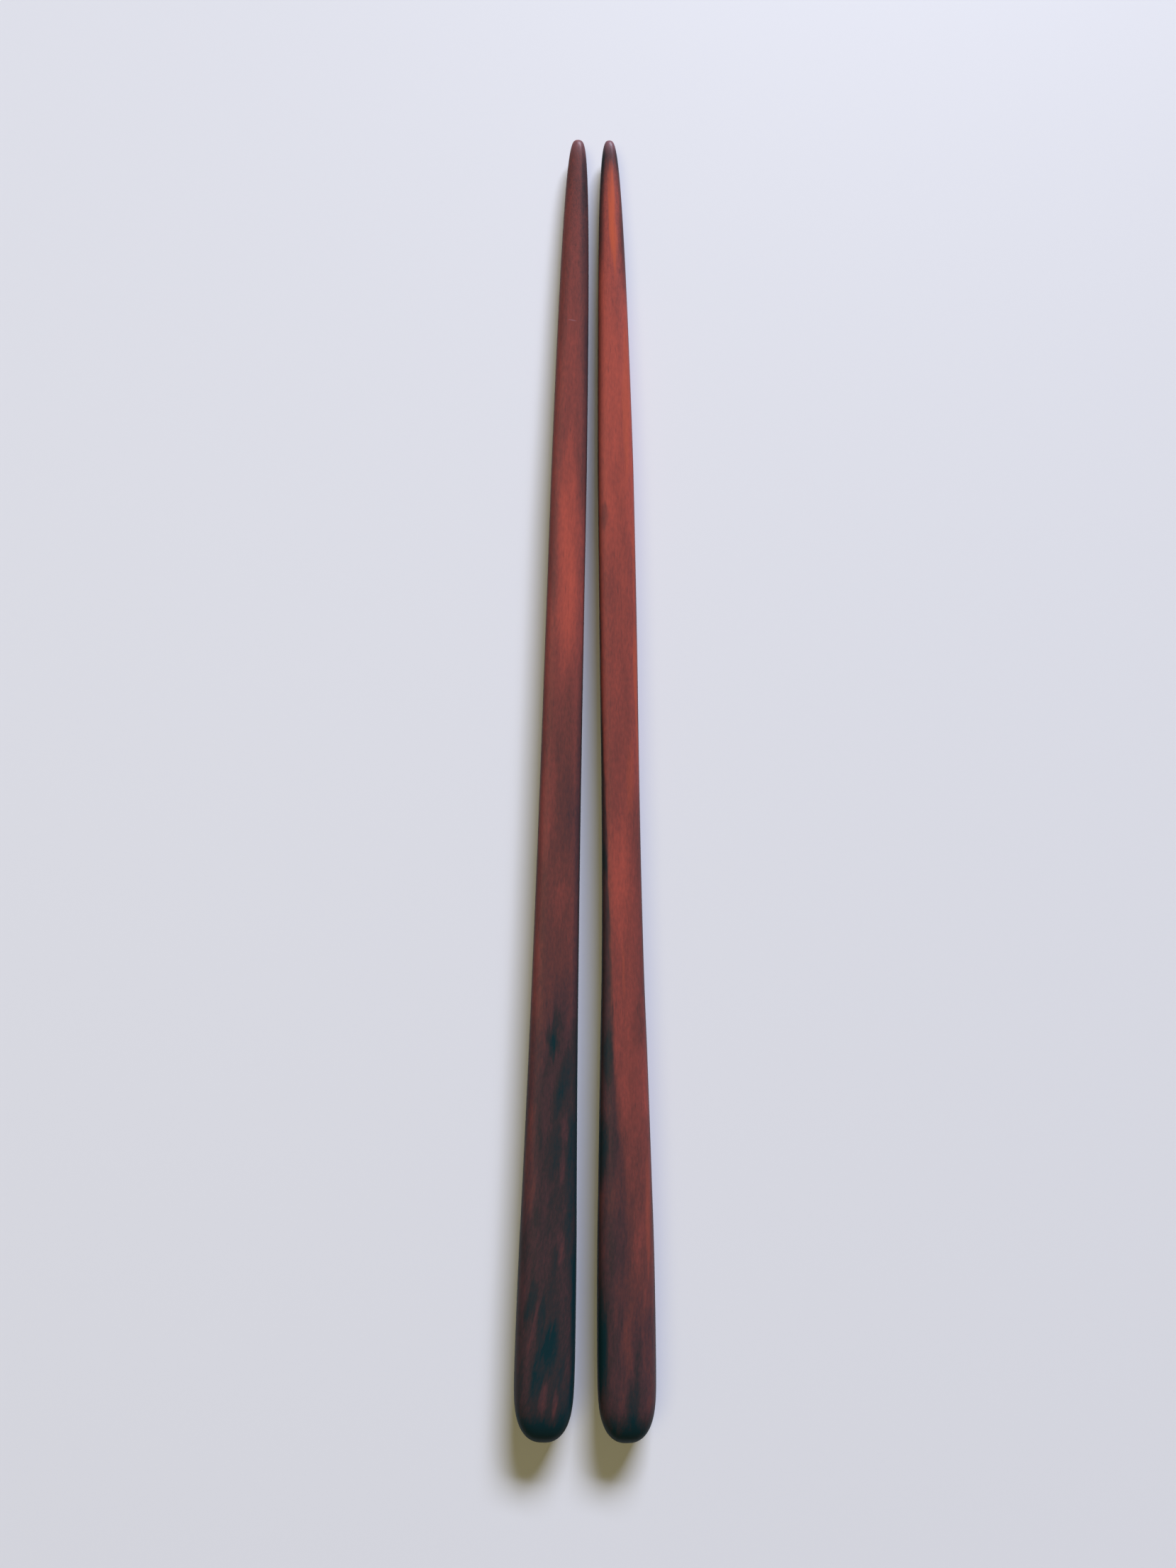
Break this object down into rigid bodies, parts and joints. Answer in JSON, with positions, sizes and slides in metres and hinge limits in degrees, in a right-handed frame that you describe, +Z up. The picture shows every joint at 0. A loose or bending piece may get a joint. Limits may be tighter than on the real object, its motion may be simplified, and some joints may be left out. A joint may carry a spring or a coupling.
{
  "type": "pair of wooden chopsticks",
  "caption": "Pair of slim lacquered hardwood chopsticks lying side by side, each with a flared handle, a domed butt end and a blunt rounded tip.",
  "frame": {"origin": "on the surface that the pair lies on, under the middle of the pair's box", "axes": "+Y from the butt ends to the tips, +X to the right seen from above with the tips away, +Z up"},
  "size_m": [0.0256, 0.235, 0.0083],
  "materials": {
    "lacquered_hardwood": "red-brown hardwood with dark figure under a satin lacquer"
  },
  "bodies": {
    "root": {"left_chopstick": "lacquered_hardwood", "right_chopstick": "lacquered_hardwood"}
  },
  "joints": []
}
